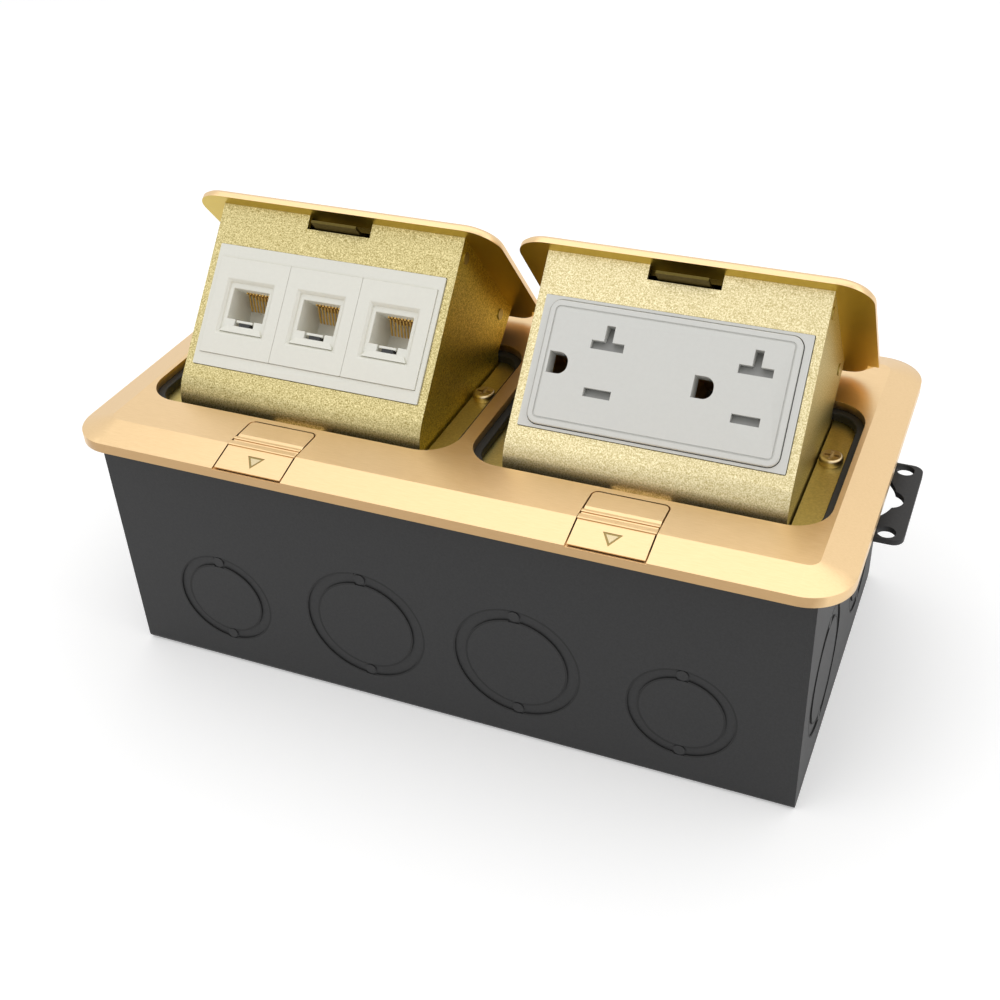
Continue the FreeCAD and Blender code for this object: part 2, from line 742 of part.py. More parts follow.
def boss_places():
    for sign in (-1, 1):
        yield sign * s.boss_rear_x, s.boss_rear_y
        yield sign * s.boss_front_x, -s.boss_front_y


def all_boss_places():
    return [(side * centre_x + x, y) for side in (-1, 1) for x, y in boss_places()]


def slot_rear():
    return -s.opening_front - s.button_bridge


def make_cover_plate():
    body = sub_part("cover_plate", z=floor)
    half_x = s.cover_length / 2
    half_y = s.cover_depth / 2
    grow(body, "XY", [rect(-half_x, half_x, -half_y, half_y, s.cover_corner)], NOTHING, s.cover_height)
    chamfer(body, at_height(s.cover_height), s.cover_height - s.cover_lip, s.bevel_width)
    in_x = half_x - s.rim_width
    in_y = half_y - s.rim_width
    cut(body, "XY", [rect(-in_x, in_x, -in_y, in_y, s.rim_corner)], NOTHING, cover_under)
    bosses = [circle(x, y, s.boss_diameter) for x, y in all_boss_places()]
    grow(body, "XY", bosses, s.ledge_rise, cover_under)
    pilots = [circle(x, y, s.cover_screw + 2 * s.fit) for x, y in all_boss_places()]
    cut(body, "XY", pilots, s.ledge_rise, s.ledge_rise + s.cover_screw_bite)
    openings = [
        middle_rect(sign * centre_x, opening_y, s.opening_width, s.opening_depth, s.opening_corner)
        for sign in (-1, 1)
    ]
    cut(body, "XY", openings, NOTHING, s.cover_height)
    half_slot = s.button_width / 2 + s.button_gap
    corner = s.button_corner + s.button_gap
    slots = []
    for sign in (-1, 1):
        x0 = sign * centre_x - half_slot
        x1 = sign * centre_x + half_slot
        slots.append([
            (x0, cover_front - 1), (x1, cover_front - 1),
            (x1, slot_rear(), corner), (x0, slot_rear(), corner),
        ])
    cut(body, "XY", slots, s.slot_floor, s.cover_height)


def make_gasket(side, sign):
    body = sub_part("gasket_" + side, sign * centre_x, NOTHING, floor)
    outer = middle_rect(
        NOTHING, opening_y, s.opening_width + 2 * s.gasket_lap, s.opening_depth + 2 * s.gasket_lap,
        s.opening_corner + s.gasket_lap)
    inner = middle_rect(
        NOTHING, opening_y, s.opening_width - 2 * s.gasket_reach, s.opening_depth - 2 * s.gasket_reach,
        s.opening_corner - s.gasket_reach)
    top = cover_under - s.gasket_gap
    grow(body, "XY", [outer, inner], s.ledge_rise, top)
    half = s.bolt_width / 2 + s.bolt_clear
    front = -s.opening_front - s.gasket_lap
    break_at_bolt = rect(-half, half, front - 1, -s.opening_front + s.gasket_reach + 1)
    cut(body, "XY", [break_at_bolt], s.ledge_rise, top)


def make_hinge_frame(side, sign):
    """A plate round the well, with a rim under its edge and two lugs for the pivot pins."""
    body = sub_part("hinge_frame_" + side, sign * centre_x, NOTHING, floor)
    half = s.frame_width / 2
    well = s.carrier_width / 2 + s.cheek_gap
    well_rear = opening_rear - s.gasket_reach
    plate = rect(-half, half, -s.frame_front, s.frame_rear, s.frame_corner)
    hole = rect(-well, well, -s.well_front, well_rear, s.well_corner)
    grow(body, "XY", [plate, hole], frame_under, s.ledge_rise)
    outer = well + s.well_rim_wall
    front = -s.well_front - s.well_rim_wall
    rim = [
        (-outer, front), (outer, front), (outer, well_rear), (well, well_rear),
        (well, -s.well_front), (-well, -s.well_front), (-well, well_rear), (-outer, well_rear),
    ]
    grow(body, "XY", [rim], frame_under - s.well_rim, frame_under)
    half_break = s.bolt_width / 2 + s.bolt_clear
    keeper_room = rect(-half_break, half_break, front - 1, -s.well_front + 1)
    cut(body, "XY", [keeper_room], frame_under - s.well_rim, s.ledge_rise)
    lug_bottom = -s.pivot_drop - s.lug_radius
    lug = [
        (s.pivot_y - s.lug_radius, frame_under), (s.pivot_y - s.lug_radius, lug_bottom, s.lug_rounding),
        (s.pivot_y + s.lug_radius, lug_bottom, s.lug_rounding), (s.pivot_y + s.lug_radius, frame_under),
    ]
    pin_hole = circle(s.pivot_y, -s.pivot_drop, s.pin_diameter + 2 * s.fit)
    for way in (-1, 1):
        span = sorted((way * well, way * (well + s.lug_wall)), key=lambda size: size.value)
        grow(body, "YZ", [lug, pin_hole], *span)
    holes = [
        circle(way * s.frame_screw_x, s.frame_screw_y, s.frame_screw + 2 * s.pass_hole) for way in (-1, 1)
    ]
    holes += [circle(x, y, s.cover_screw + 2 * s.pass_hole) for x, y in boss_places()]
    cut(body, "XY", holes, frame_under, s.ledge_rise)


def make_frame_screws():
    spots = [
        (side * centre_x + way * s.frame_screw_x, s.frame_screw_y) for side in (-1, 1) for way in (-1, 1)
    ]
    pan_screws("frame_screws", floor + s.ledge_rise, spots, s.frame_screw_head, s.frame_screw_rise,
               s.frame_screw, s.frame_screw_length)


def make_cover_screws():
    length = s.frame_wall + s.cover_screw_bite - s.cover_screw_short
    pan_screws("cover_screws", floor + frame_under, all_boss_places(), s.cover_screw_head,
               s.cover_screw_rise, s.cover_screw, length, down=-1)


# ---------------------------------------------------------------- pop-ups

def make_lid(side, sign):
    body = popup_part("lid_" + side, sign)
    centre = from_pivot(opening_y, NOTHING)[0]
    bottom = from_pivot(NOTHING, lid_under)[1]
    top = bottom + s.lid_thickness
    outline = middle_rect(
        NOTHING, centre, s.opening_width - 2 * s.lid_gap, s.opening_depth - 2 * s.lid_gap,
        s.opening_corner - s.lid_gap)
    grow(body, "XY", [outline], bottom, top)
    chamfer(body, at_height(top), s.lid_edge, s.lid_edge)
    rear = centre + s.opening_depth / 2 - s.lid_gap
    corner_x = s.opening_width / 2 - s.opening_corner
    corner_y = centre + s.opening_depth / 2 - s.opening_corner
    slope = [(rear - s.lid_undercut, bottom), (rear + 1, bottom), (rear + 1, top), (rear, top)]
    cut(body, "YZ", [slope], -corner_x, corner_x)
    for way in (-1, 1):
        turn_undercut(body, slope, way * corner_x, corner_y, way)


def turn_undercut(body, slope, corner_x, corner_y, way):
    """The undercut goes on round a rear corner, so that the lid swings clear of its opening."""
    moved = [(y - corner_y, z) for y, z in slope]
    sketch = draw(body, "YZ", [moved], corner_x)
    sketch.AttachmentOffset.Base.x = corner_y.value
    sketch.setExpression("AttachmentOffset.Base.x", corner_y.text)
    groove = body.newObject("PartDesign::Groove", "Undercut")
    groove.Profile = sketch
    groove.ReferenceAxis = (sketch, ["V_Axis"])
    groove.Angle = 90
    groove.Reversed = way > 0
    body.Tip = groove
    doc.recompute()


def plate_foot():
    """Where the front plate's face would meet the level of the curl's foot."""
    y = plate_top[0] + s.nose_depth * trig("tan", lean)
    return y, plate_top[1] - s.nose_depth


def make_carrier(side, sign):
    """One bent sheet: front plate with window and curl, two cheeks and their arms."""
    body = popup_part("carrier_" + side, sign)
    foot_y, foot_z = plate_foot()
    tail = foot_y + s.nose_radius * trig("tan", (90 - lean) / 2) + s.nose_tail
    cheek_rear, cheek_low = from_pivot(s.cheek_rear, -s.cheek_drop)
    knee = from_pivot(s.knee_y, -s.knee_drop)
    heel = from_pivot(s.heel_y, -s.heel_drop)
    eye = s.eye_radius
    profile = [
        plate_top, (foot_y, foot_z, s.nose_radius), (tail, foot_z), heel,
        (NOTHING, -eye), (NOTHING, eye), knee, (cheek_rear, cheek_low), (cheek_rear, plate_top[1]),
    ]
    half = s.carrier_width / 2
    grow(body, "YZ", [profile], -half, half)
    grow(body, "YZ", [circle(NOTHING, NOTHING, 2 * eye)], -half, half)
    skin = s.carrier_wall / trig("cos", lean)
    above = plate_top[1] + 1
    inside = half - s.carrier_wall
    hollow = [
        (plate_top[0] + skin - trig("tan", lean), above),
        (foot_y + skin - s.carrier_wall * trig("tan", lean), foot_z + s.carrier_wall,
         s.nose_radius - s.carrier_wall),
        (eye + 1, foot_z + s.carrier_wall), (eye + 1, above),
    ]
    cut(body, "YZ", [hollow], -inside, inside)
    cut(body, "YZ", [circle(NOTHING, NOTHING, s.pin_diameter + 2 * s.fit)], -half, half)
    rivets = [circle(y, z, s.rivet_diameter + 2 * s.fit) for y, z in rivet_places()]
    cut(body, "YZ", rivets, -half, half)
    tilt = (plate_top[1], lean)
    window = middle_rect(NOTHING, -s.window_drop, s.window_width, s.window_height, s.window_corner)
    notch = rect(-s.notch_width / 2, s.notch_width / 2, -s.notch_depth, s.notch_depth)
    cut(body, "XZ", [window], plate_top[0], plate_top[0] + 2 * s.carrier_wall, tilt)
    cut(body, "XZ", [notch], plate_top[0], plate_top[0] + 2 * s.carrier_wall, tilt)


def rivet_places():
    return [
        from_pivot(-s.rivet_front_y, -s.rivet_front_drop), from_pivot(s.rivet_rear_y, -s.rivet_rear_drop),
    ]


def bracket_half():
    return s.carrier_width / 2 - s.carrier_wall - s.bracket_gap


def make_lid_bracket(side, sign):
    """A channel under the lid, riveted to the cheeks."""
    body = popup_part("lid_bracket_" + side, sign)
    y0 = plate_top[0] + s.bracket_front
    y1 = from_pivot(s.cheek_rear, NOTHING)[0]
    top = plate_top[1]
    half = bracket_half()
    inside = half - s.carrier_wall
    channel = [
        (-half, top - s.bracket_foot), (-inside, top - s.bracket_foot), (-inside, top - s.carrier_wall),
        (inside, top - s.carrier_wall), (inside, top - s.bracket_foot), (half, top - s.bracket_foot),
        (half, top), (-half, top),
    ]
    grow(body, "XZ", [channel], y0, y1)
    rivets = [circle(y, z, s.rivet_diameter + 2 * s.fit) for y, z in rivet_places()]
    cut(body, "YZ", rivets, -half, half)


def make_cheek_rivets(side, sign):
    body = popup_part("cheek_rivets_" + side, sign)
    outside = s.carrier_width / 2
    inner = bracket_half() - s.carrier_wall
    for way in (-1, 1):
        spans = (
            (inner, outside, s.rivet_diameter), (outside, outside + s.rivet_rise, s.rivet_head),
            (inner - s.rivet_rise, inner, s.rivet_head),
        )
        for start, end, size in spans:
            loops = [circle(y, z, size) for y, z in rivet_places()]
            grow(body, "YZ", loops, *sorted((way * start, way * end), key=lambda item: item.value))


def make_keeper(side, sign):
    """A cranked strip under the lid bracket whose tip reaches through the notch below the bolt."""
    body = popup_part("keeper_" + side, sign)
    seat = plate_top[1] - s.carrier_wall
    tip, top = from_pivot(-s.keeper_reach, s.ledge_rise)
    bend = from_pivot(-s.keeper_bend, NOTHING)[0]
    rear = from_pivot(-s.keeper_root, NOTHING)[0]
    drop = seat - top
    strip = [
        (tip, top - s.keeper_wall), (bend, top - s.keeper_wall), (bend + drop, seat - s.keeper_wall),
        (rear, seat - s.keeper_wall), (rear, seat), (bend, seat), (bend - drop, top), (tip, top),
    ]
    grow(body, "YZ", [strip], -s.keeper_width / 2, s.keeper_width / 2)


def make_pivot_pins(side, sign):
    body = sub_part("pivot_pins_" + side, sign * centre_x, s.pivot_y, pivot_z)
    inner = s.carrier_width / 2 - s.carrier_wall - s.pin_length
    outer = s.carrier_width / 2 + s.cheek_gap + s.lug_wall
    for way in (-1, 1):
        spans = ((inner, outer, s.pin_diameter), (outer, outer + s.pin_head_rise, s.pin_head))
        for start, end, size in spans:
            span = sorted((way * start, way * end), key=lambda item: item.value)
            grow(body, "YZ", [circle(NOTHING, NOTHING, size)], *span)


def make_spring(label, coil, wire, turns, pitch, angle, axis, spot):
    """A coil of wire in short straight runs, which meshes far lighter than a true helix."""
    runs = int(s.coil_runs.value)
    points = []
    for i in range(int(round(turns.value * runs)) + 1):
        spin = 2 * math.pi * i / runs
        reach = coil.value / 2
        points.append(FreeCAD.Vector(reach * math.cos(spin), reach * math.sin(spin), pitch.value * i / runs))
    line = doc.addObject("Part::Feature", label + "_line")
    line.Shape = Part.makePolygon(points)
    ring = doc.addObject("Part::RegularPolygon", label + "_wire")
    ring.Polygon = 6
    bind(ring, "Circumradius", wire / 2)
    outward = FreeCAD.Rotation(FreeCAD.Vector(0, 0, 1), points[1] - points[0])
    ring.Placement = FreeCAD.Placement(points[0], outward)
    sweep = doc.addObject("Part::Sweep", label)
    sweep.Label = label
    sweep.Sections = [ring]
    sweep.Spine = line
    sweep.Solid = True
    sweep.Frenet = False
    sweep.Transition = "Right corner"
    sweep.Placement = FreeCAD.Placement(FreeCAD.Vector(0, 0, 0), FreeCAD.Rotation(axis, angle))
    for name, distance in zip("xyz", spot):
        sweep.setExpression("Placement.Base." + name, as_size(distance).text)
    doc.recompute()
    return sweep


def make_torsion_spring(side, sign):
    start = sign * centre_x + s.carrier_width / 2 - s.carrier_wall - s.pin_length + s.coil_wire
    make_spring("torsion_spring_" + side, s.coil_diameter, s.coil_wire, s.coil_turns, s.coil_pitch,
                90, FreeCAD.Vector(0, 1, 0), (start, s.pivot_y, pivot_z))


# ---------------------------------------------------------------- latch

def make_latch_button(side, sign):
    """Button in the cover's bevel, slider and bolt under the cover, one moulding."""
    body = sub_part("latch_button_" + side, sign * centre_x, NOTHING, floor)
    slope = (s.cover_height - s.cover_lip) / s.bevel_width
    front = cover_front + s.button_front
    low = s.slot_floor + s.button_lift
    ridge = cover_front + s.bevel_width
    tooth = ridge + s.grip_land
    rear = slot_rear() - s.button_gap
    top = s.cover_height
    side_view = [
        (front, low), (rear, low), (rear, top),
        (tooth + 2 * s.grip_tooth, top), (tooth + s.grip_tooth, top - s.grip_depth),
        (tooth + s.grip_tooth, top), (tooth, top - s.grip_depth), (tooth, top),
        (ridge, top), (front, s.cover_lip + slope * s.button_front),
    ]
    half = s.button_width / 2
    grow(body, "YZ", [side_view], -half, half)

    def rear_corner(box):
        upright = box.XLength < 1e-4 and box.YLength < 1e-4 and box.ZLength > 1
        return upright and abs(box.YMin - rear.value) < 1e-3

    fillet(body, rear_corner, s.button_corner)
    bolt_low = s.ledge_rise + s.button_lift
    slider = rect(-s.slider_width / 2, s.slider_width / 2, -s.slider_front, rear - s.button_lift)
    grow(body, "XY", [slider], bolt_low, low)
    bolt_top = bolt_low + s.bolt_height
    bolt = [
        (-s.slider_front + 1, bolt_low), (-s.bolt_tip, bolt_low), (-s.bolt_tip, bolt_low + s.bolt_blunt),
        (-s.bolt_tip - s.bolt_nose, bolt_top), (-s.slider_front + 1, bolt_top),
    ]
    grow(body, "YZ", [bolt], -s.bolt_width / 2, s.bolt_width / 2)
    angle = Size(math.degrees(math.atan(slope.value)), "atan(%s)" % slope.text)
    place_up = s.mark_place
    mark = [
        (NOTHING, place_up), (s.mark_base / 2, place_up + s.mark_length),
        (-s.mark_base / 2, place_up + s.mark_length),
    ]
    tilted_mark(body, mark, angle)


def tilted_mark(body, mark, angle):
    """An arrow sunk into the bevel; the sketch lies in the bevel."""
    sketch = draw(body, "XY", [mark], s.cover_lip, (cover_front, angle))
    pocket = body.newObject("PartDesign::Pocket", "Mark")
    pocket.Profile = sketch
    bind(pocket, "Length", s.mark_depth)
    body.Tip = pocket
    doc.recompute()


def make_latch_springs(side, sign):
    """Two small coils between the slider and the cover's rim."""
    length = s.cover_depth / 2 - s.rim_width - s.slider_front
    pitch = (length - 2 * s.latch_spring_wire) / s.latch_spring_turns
    z = floor + (s.ledge_rise + s.slot_floor) / 2 + s.button_lift
    coils = []
    for way in (-1, 1):
        spot = (sign * centre_x + way * s.latch_spring_x, cover_front + s.rim_width + s.latch_spring_wire, z)
        name = "latch_coil_%s_%s" % (side, "near" if way < 0 else "far")
        coils.append(make_spring(name, s.latch_spring_coil, s.latch_spring_wire, s.latch_spring_turns,
                                 pitch, -90, X_AXIS, spot))
    group = doc.addObject("Part::Compound", "latch_springs_" + side)
    group.Label = "latch_springs_" + side
    group.Links = coils
    doc.recompute()


# ---------------------------------------------------------------- data insert

def insert_ring(label, sign, hole):
    """A frame that fills the window, with a flange behind the front plate."""
    body = plate_part(label, sign)
    back = -s.carrier_wall
    width = s.window_width - 2 * s.insert_gap
    height = s.window_height - 2 * s.insert_gap
    flange = middle_rect(NOTHING, -s.window_drop, s.window_width + 2 * s.flange_side,
                         s.window_height + 2 * s.flange_ends, s.window_corner)
    grow(body, "XY", [flange, hole], back - s.flange_wall, back)
    face = middle_rect(NOTHING, -s.window_drop, width, height, s.window_corner - s.insert_gap)
    grow(body, "XY", [face, hole], back, s.insert_proud)
    return body


def make_data_frame():
    width = 3 * s.module_pitch + s.module_gap
    hole = middle_rect(NOTHING, -s.window_drop, width, s.module_height + 2 * s.module_gap)
    insert_ring("data_frame", -1, hole)


def port_outline(x):
    """The port with its stepped clip notch below."""
    middle = -s.window_drop + s.port_rise
    half = s.port_width / 2
    wide = s.clip_width / 2
    narrow = s.clip_narrow / 2
    top = middle + s.port_height / 2
    low = middle - s.port_height / 2
    return [
        (x - half, low), (x - wide, low), (x - wide, low - s.clip_step), (x - narrow, low - s.clip_step),
        (x - narrow, low - 2 * s.clip_step), (x + narrow, low - 2 * s.clip_step),
        (x + narrow, low - s.clip_step), (x + wide, low - s.clip_step), (x + wide, low), (x + half, low),
        (x + half, top), (x - half, top),
    ]


def module_x(number):
    return (number - 2) * s.module_pitch


def make_jack_module(number):
    body = plate_part("jack_module_%d" % number, -1)
    x = as_size(module_x(number))
    middle = -s.window_drop
    front = s.insert_proud + s.module_proud
    face_back = -s.carrier_wall - s.flange_wall
    block = middle_rect(x, middle, s.module_pitch - s.module_gap, s.module_height)
    grow(body, "XY", [block], face_back, front)
    housing = middle_rect(x, middle, s.recess_width + 2 * s.clip_step, s.recess_height + 3 * s.clip_step)
    grow(body, "XY", [housing], -s.module_depth, face_back)
    recess = middle_rect(x, middle, s.recess_width, s.recess_height)
    cut(body, "XY", [recess], front - s.recess_depth, front)

    def recess_edge(box):
        level = abs(box.ZMin - front.value) < 1e-4 and abs(box.ZMax - front.value) < 1e-4
        near = abs(box.Center.x - x.value) < s.recess_width.value / 2 + 0.1
        return level and near and abs(box.Center.y - middle.value) < s.recess_height.value / 2 + 0.1

    chamfer(body, recess_edge, s.recess_bevel, s.recess_bevel)
    cut(body, "XY", [port_outline(x)], front - s.port_depth, front)


def make_jack_contacts():
    """A row of wires in the roof of each port."""
    body = plate_part("jack_contacts", -1)
    roof = -s.window_drop + s.port_rise + s.port_height / 2
    deep = s.insert_proud + s.module_proud - s.port_depth
    wires = []
    for number in (1, 2, 3):
        first = as_size(module_x(number)) - (s.contact_count - 1) / 2 * s.contact_pitch
        for wire in range(int(s.contact_count.value)):
            x = first + wire * s.contact_pitch
            wires.append(rect(x - s.contact_wire / 2, x + s.contact_wire / 2, roof - s.contact_wire, roof))
    grow(body, "XY", wires, deep, deep + s.contact_length)


# ---------------------------------------------------------------- receptacle insert

def outlets():
    """The middle of each outlet's slots along the face."""
    return [s.outlet_place + way * s.outlet_pitch / 2 for way in (-1, 1)]


def outlet_loops(grown):
    """Neutral T slot, live slot and ground hole of both outlets, each wider by grown."""
    loops = []
    upper = -s.window_drop + s.slot_spacing / 2
    lower = -s.window_drop - s.slot_spacing / 2
    for x in outlets():
        bar = s.slot_wide / 2 + grown
        half = s.slot_high / 2 + grown
        loops.append([
            (x - bar, upper - half), (x + bar, upper - half), (x + bar, upper + half), (x + half, upper + half),
            (x + half, upper + s.slot_stem + grown), (x - half, upper + s.slot_stem + grown),
            (x - half, upper + half), (x - bar, upper + half),
        ])
        loops.append(middle_rect(x, lower, s.slot_short + 2 * grown, s.slot_high + 2 * grown))
        ground_x = x - s.ground_offset
        left = ground_x - s.ground_width / 2 - grown
        right = ground_x + s.ground_width / 2 + grown
        tall = s.ground_height / 2 + grown
        loops.append([
            (left, -s.window_drop - tall), (right, -s.window_drop - tall, s.ground_bend),
            (right, -s.window_drop + tall, s.ground_bend), (left, -s.window_drop + tall),
        ])
    return loops


def face_outline(grown):
    return middle_rect(NOTHING, -s.window_drop, s.face_width + 2 * grown, s.face_height + 2 * grown,
                       s.face_corner + grown)


def make_receptacle_trim():
    insert_ring("receptacle_trim", 1, face_outline(s.face_gap))


def make_receptacle_face():
    body = plate_part("receptacle_face", 1)
    grow(body, "XY", [face_outline(NOTHING)], -s.face_back, s.face_proud)
    fillet(body, at_height(s.face_proud), s.groove_depth)
    groove = [face_outline(-s.groove_inset), face_outline(-s.groove_inset - s.groove_width)]
    cut(body, "XY", groove, s.face_proud - s.groove_depth, s.face_proud)
    cut(body, "XY", outlet_loops(NOTHING), -s.face_back, s.face_proud)


def make_receptacle_body():
    body = plate_part("receptacle_body", 1)
    back = -s.face_back - s.body_depth
    block = middle_rect(NOTHING, -s.window_drop, s.body_width, s.body_height)
    grow(body, "XY", [block], back, -s.face_back)
    cut(body, "XY", outlet_loops(s.cavity_play), -s.face_back - s.cavity_depth, -s.face_back)


def make_receptacle_contacts():
    """A sleeve of leaf brass behind every slot and hole."""
    body = plate_part("receptacle_contacts", 1)
    outside = outlet_loops(s.cavity_play - s.fit)
    inside = outlet_loops(s.cavity_play - s.fit - s.leaf)
    deep = -s.face_back - s.cavity_depth
    grow(body, "XY", outside + inside, deep, -s.face_back - s.leaf)


def make_receptacle_strap():
    """Earth strap round the back of the body, with two feet on the trim's flange."""
    body = plate_part("receptacle_strap", 1)
    inner = s.face_width / 2 + s.strap_gap
    outer = inner + s.strap_wall
    foot = s.window_width / 2
    seat = -s.carrier_wall - s.flange_wall
    back = -s.face_back - s.body_depth
    bend = [
        (-outer, back - s.strap_wall), (outer, back - s.strap_wall), (outer, seat - s.strap_wall),
        (foot, seat - s.strap_wall), (foot, seat), (inner, seat), (inner, back), (-inner, back),
        (-inner, seat), (-foot, seat), (-foot, seat - s.strap_wall), (-outer, seat - s.strap_wall),
    ]
    middle = -s.window_drop
    grow(body, "XZ", [bend], middle - s.strap_height / 2, middle + s.strap_height / 2)


def make_terminal_screws():
    """Screw heads on the long sides of the receptacle body."""
    body = plate_part("terminal_screws", 1)
    deep = -s.face_back - s.body_depth / 2
    spots = [circle(way * s.terminal_x, deep, s.terminal_head) for way in (-1, 1)]
    for way in (-1, 1):
        side = -s.window_drop + way * s.body_height / 2
        span = sorted((side, side + way * s.terminal_rise), key=lambda item: item.value)
        grow(body, "XZ", spots, *span)


# ---------------------------------------------------------------- assembly

make_box_shell()
make_divider_plate()
make_ground_screw()
make_ear_screws()
make_cover_plate()
make_frame_screws()
make_cover_screws()
for side_name, side_sign in SIDES:
    make_end_plate(side_name, side_sign)
    make_mounting_ear(side_name, side_sign)
    make_hinge_frame(side_name, side_sign)
    make_gasket(side_name, side_sign)
    make_lid(side_name, side_sign)
    make_carrier(side_name, side_sign)
    make_lid_bracket(side_name, side_sign)
    make_cheek_rivets(side_name, side_sign)
    make_keeper(side_name, side_sign)
    make_pivot_pins(side_name, side_sign)
    make_torsion_spring(side_name, side_sign)
    make_latch_button(side_name, side_sign)
    make_latch_springs(side_name, side_sign)
make_data_frame()
for module in (1, 2, 3):
    make_jack_module(module)
make_jack_contacts()
make_receptacle_trim()
make_receptacle_face()
make_receptacle_body()
make_receptacle_contacts()
make_receptacle_strap()
make_terminal_screws()

doc.recompute()


# ---------------------------------------------------------------- checks and export

for thing in doc.Objects:
    if "Invalid" in thing.State or "Error" in thing.State:
        raise ValueError("%s is %s" % (thing.Label, thing.State))

os.makedirs("parts", exist_ok=True)
coils = [link for thing in doc.Objects if thing.TypeId == "Part::Compound" for link in thing.Links]
kinds = ("PartDesign::Body", "Part::Sweep", "Part::Compound")
for thing in doc.Objects:
    if thing.TypeId not in kinds or thing in coils:
        continue
    shape = thing.Shape
    if shape.isNull() or not shape.isValid():
        raise ValueError("%s has no sound shape" % thing.Label)
    shape.exportStep(os.path.join("parts", thing.Label + ".step"))
    print(thing.Label, len(shape.Solids), round(shape.Volume, 1))
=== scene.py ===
"""Looks of the floor socket box: finishes, small soft edges, light and camera. Metres, +Z up."""
import json
import math

import bmesh
import bpy
from mathutils import Matrix, Vector


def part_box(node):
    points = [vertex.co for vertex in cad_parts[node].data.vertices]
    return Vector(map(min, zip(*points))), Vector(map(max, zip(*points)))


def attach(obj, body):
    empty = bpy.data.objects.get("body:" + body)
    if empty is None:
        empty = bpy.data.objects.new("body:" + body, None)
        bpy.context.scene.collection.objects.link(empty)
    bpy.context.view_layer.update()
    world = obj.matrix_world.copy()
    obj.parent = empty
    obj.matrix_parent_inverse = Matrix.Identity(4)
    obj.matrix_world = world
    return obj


MM = 0.001

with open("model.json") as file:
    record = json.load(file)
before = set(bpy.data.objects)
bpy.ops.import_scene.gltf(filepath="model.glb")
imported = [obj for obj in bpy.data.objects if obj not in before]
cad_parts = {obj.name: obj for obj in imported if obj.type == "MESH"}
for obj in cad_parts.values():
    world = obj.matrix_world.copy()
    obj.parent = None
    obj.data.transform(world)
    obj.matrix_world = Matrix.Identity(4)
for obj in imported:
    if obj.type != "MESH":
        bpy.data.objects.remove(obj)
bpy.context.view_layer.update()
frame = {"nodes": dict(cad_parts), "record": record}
nodes = frame["nodes"]


# ---------------------------------------------------------------- materials

def new_material(name):
    material = bpy.data.materials.new(name)
    material.use_nodes = True
    tree = material.node_tree
    shader = tree.nodes["Principled BSDF"]
    return material, tree, shader


def put(tree, kind, **values):
    """A node with its inputs or fields set by name."""
    node = tree.nodes.new(kind)
    for key, value in values.items():
        if hasattr(node, key):
            setattr(node, key, value)
        else:
            node.inputs[key.replace("_", " ")].default_value = value
    return node


def local_coordinates(tree, scale=(1.0, 1.0, 1.0)):
    """Object coordinates, in metres, scaled."""
    place = put(tree, "ShaderNodeTexCoord")
    mapping = put(tree, "ShaderNodeMapping")
    mapping.inputs["Scale"].default_value = scale
    tree.links.new(place.outputs["Object"], mapping.inputs["Vector"])
    return mapping.outputs["Vector"]


def noise(tree, vector, scale, detail, rough):
    node = put(tree, "ShaderNodeTexNoise", Scale=scale, Detail=detail, Roughness=rough)
    tree.links.new(vector, node.inputs["Vector"])
    return node.outputs["Fac"]


def ramp(tree, value, stops):
    node = put(tree, "ShaderNodeValToRGB")
    while len(node.color_ramp.elements) < len(stops):
        node.color_ramp.elements.new(0.5)
    for element, (place, colour) in zip(node.color_ramp.elements, stops):
        element.position = place
        element.color = (*colour, 1.0)
    tree.links.new(value, node.inputs["Fac"])
    return node.outputs["Color"]


def spread(tree, value, low, high):
    node = put(tree, "ShaderNodeMapRange")
    node.inputs["From Min"].default_value = 0.3
    node.inputs["From Max"].default_value = 0.7
    node.inputs["To Min"].default_value = low
    node.inputs["To Max"].default_value = high
    tree.links.new(value, node.inputs["Value"])
    return node.outputs["Result"]


def bump(tree, shader, height, distance):
    node = put(tree, "ShaderNodeBump", Strength=1.0, Distance=distance)
    tree.links.new(height, node.inputs["Height"])
    tree.links.new(node.outputs["Normal"], shader.inputs["Normal"])


# Satin metal of the cover and lids, and its painted shade where it faces the front or down.
# The shade is painted into the base colour; relief is in metres.
SATIN_DARK = (0.77, 0.545, 0.293)
SATIN_LIGHT = (0.835, 0.607, 0.342)
SATIN_ROUGH = 0.34
SATIN_GRAIN = 5200.0
SATIN_RELIEF = 0.000003
FRONT_PAINTED_SHADE = (0.64, 0.58, 0.52)
UNDER_PAINTED_SHADE = (0.80, 0.82, 0.24)
CARRIER_ROUGH = 0.42
CARRIER_GRAIN = 2600.0


def satin_metal(name, under=None):
    """Lacquered satin metal with fine lines along X, and painted shade where it faces the front
    or, on the lids, down.
    """
    material, tree, shader = new_material(name)
    shader.inputs["Metallic"].default_value = 1.0
    lines = noise(tree, local_coordinates(tree, (0.06, 1.0, 1.0)), SATIN_GRAIN, 4.0, 0.6)
    colours = ramp(tree, lines, [(0.3, SATIN_DARK), (0.7, SATIN_LIGHT)])
    tree.links.new(colours, shader.inputs["Base Color"])
    rough = spread(tree, lines, SATIN_ROUGH - 0.04, SATIN_ROUGH + 0.05)
    tree.links.new(rough, shader.inputs["Roughness"])
    bump(tree, shader, lines, SATIN_RELIEF)
    # Painted shade: darker where the metal faces the front, and on the lids darker and olive
    # where the underside faces down.
    paint_light_and_shade(tree, shader, facing(tree, (0.0, -1.0, 0.0), 0.8, 0.95), FRONT_PAINTED_SHADE)
    if under:
        paint_light_and_shade(tree, shader, facing(tree, under, 0.6, 0.9), UNDER_PAINTED_SHADE)
    return material


